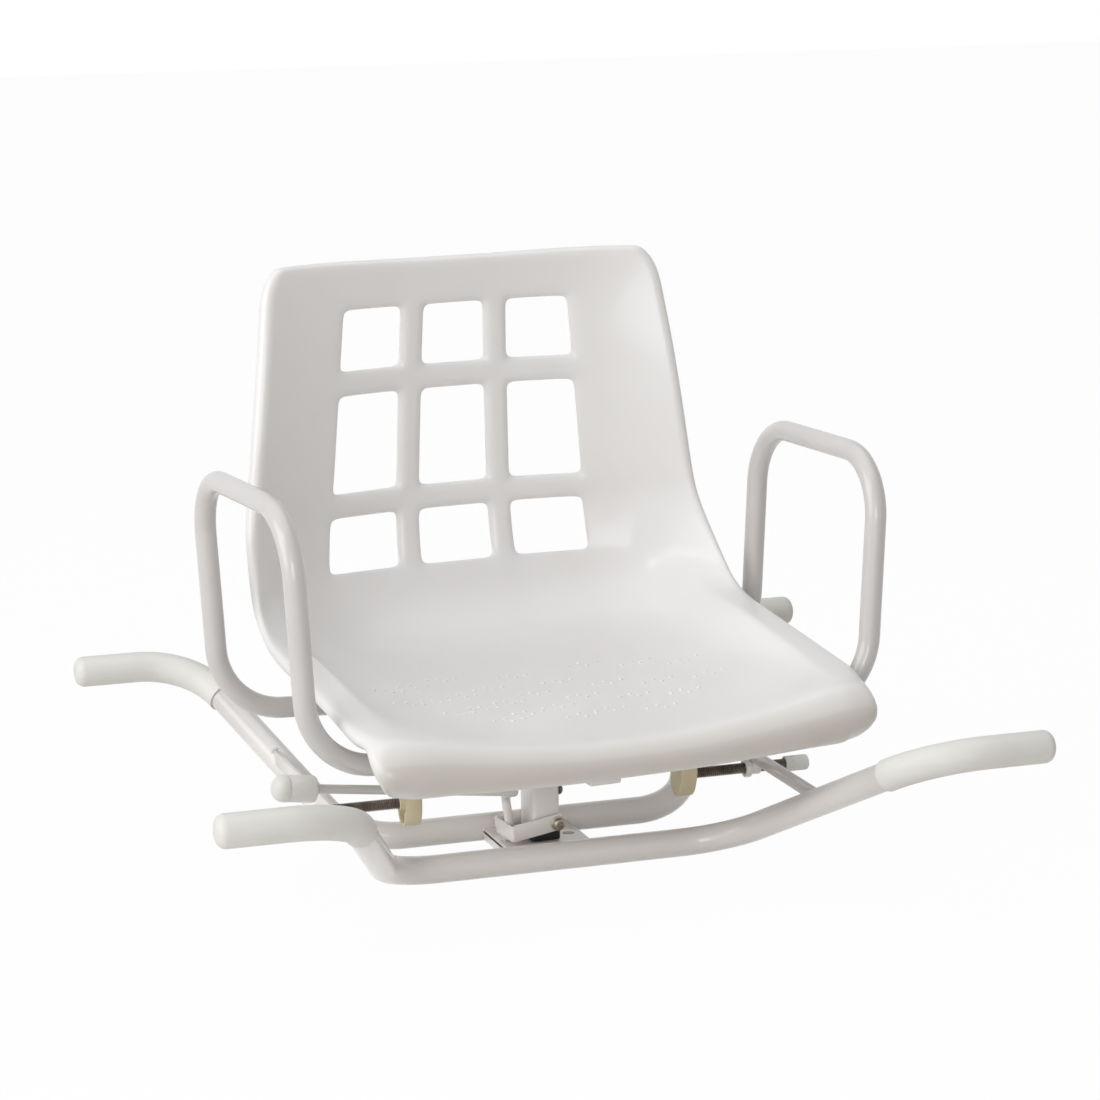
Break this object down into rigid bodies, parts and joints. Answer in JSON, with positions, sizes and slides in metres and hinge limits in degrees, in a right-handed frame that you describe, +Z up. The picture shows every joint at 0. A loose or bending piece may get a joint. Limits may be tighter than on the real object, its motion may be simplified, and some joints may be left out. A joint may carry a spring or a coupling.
{
  "type": "swivel bath seat",
  "caption": "Moulded bucket seat with windowed back and hoop armrests, turning on a tubular frame that rests across a bath, with a swivel lock lever and wall clamp screws.",
  "frame": {"origin": "under the swivel axis, at the level of the undersides of the frame tubes", "axes": "+Z up, +X across the bath to the right seen from the front, the sitter faces -Y when the frame is square to the bath"},
  "size_m": [0.726, 0.6086, 0.523],
  "materials": {
    "powder_coat": "semi-gloss white powder coat",
    "grip_plastic": "soft satin off-white",
    "seat_plastic": "glossy white moulding",
    "knob_plastic": "satin cream",
    "cap_rubber": "satin white",
    "black_nylon": "satin black",
    "dark_steel": "dull dark plate",
    "zinc_steel": "bright zinc plate"
  },
  "bodies": {
    "bath_frame": {"front_frame_tube": "powder_coat", "rear_frame_tube": "powder_coat", "front_left_grip": "grip_plastic", "front_right_grip": "grip_plastic", "rear_left_grip": "grip_plastic", "rear_right_grip": "grip_plastic", "left_side_bar": "powder_coat", "right_side_bar": "powder_coat", "left_screw_nut": "powder_coat", "right_screw_nut": "powder_coat", "swivel_base_plate": "powder_coat", "pivot_pin": "zinc_steel", "pivot_washer": "zinc_steel", "pivot_nut": "zinc_steel"},
    "swivel_seat": {"seat_shell": "seat_plastic", "left_armrest": "powder_coat", "right_armrest": "powder_coat", "seat_carrier_plate": "powder_coat", "swivel_post": "powder_coat", "glide_block": "black_nylon", "upper_bush": "black_nylon", "retaining_bolt": "dark_steel", "front_left_seat_bolt": "zinc_steel", "front_right_seat_bolt": "zinc_steel", "rear_left_seat_bolt": "zinc_steel", "rear_right_seat_bolt": "zinc_steel", "front_strap_screw": "zinc_steel", "rear_strap_screw": "zinc_steel"},
    "lock_lever": {"lever_rod": "powder_coat", "lever_grip": "grip_plastic", "latch_strap": "powder_coat"},
    "left_clamp_pad": {"left_wall_cap": "cap_rubber"},
    "left_clamp_drive": {"left_clamp_screw": "dark_steel", "left_hand_knob": "knob_plastic"},
    "right_clamp_pad": {"right_wall_cap": "cap_rubber"},
    "right_clamp_drive": {"right_clamp_screw": "dark_steel", "right_hand_knob": "knob_plastic"}
  },
  "joints": [
    {"name": "seat_swivel", "type": "hinge", "parent": "bath_frame", "child": "swivel_seat", "pos_m": [0, 0, 0.0145], "axis": [0, 0, 1], "continuous": true},
    {"name": "lock_lever_tilt", "type": "hinge", "parent": "swivel_seat", "child": "lock_lever", "pos_m": [0.00856, 0.00088, 0.031], "axis": [-0.1018, 0.9948, 0], "range_deg": [-4.6, 7]},
    {"name": "left_cap_travel", "type": "slide", "parent": "bath_frame", "child": "left_clamp_pad", "axis": [-1, 0, 0], "range_m": [-0.006, 0.054]},
    {"name": "left_knob_turn", "type": "hinge", "parent": "left_clamp_pad", "child": "left_clamp_drive", "pos_m": [-0.12, 0, 0.059], "axis": [-1, 0, 0], "range_deg": [-1080, 9720]},
    {"name": "right_cap_travel", "type": "slide", "parent": "bath_frame", "child": "right_clamp_pad", "axis": [1, 0, 0], "range_m": [-0.024, 0.04]},
    {"name": "right_knob_turn", "type": "hinge", "parent": "right_clamp_pad", "child": "right_clamp_drive", "pos_m": [0.137, 0, 0.059], "axis": [1, 0, 0], "range_deg": [-4320, 7200]}
  ],
  "couplings": [
    {"joint": "left_knob_turn", "follows": "left_cap_travel", "rad_per_m": 3141.6},
    {"joint": "right_knob_turn", "follows": "right_cap_travel", "rad_per_m": 3141.6}
  ]
}
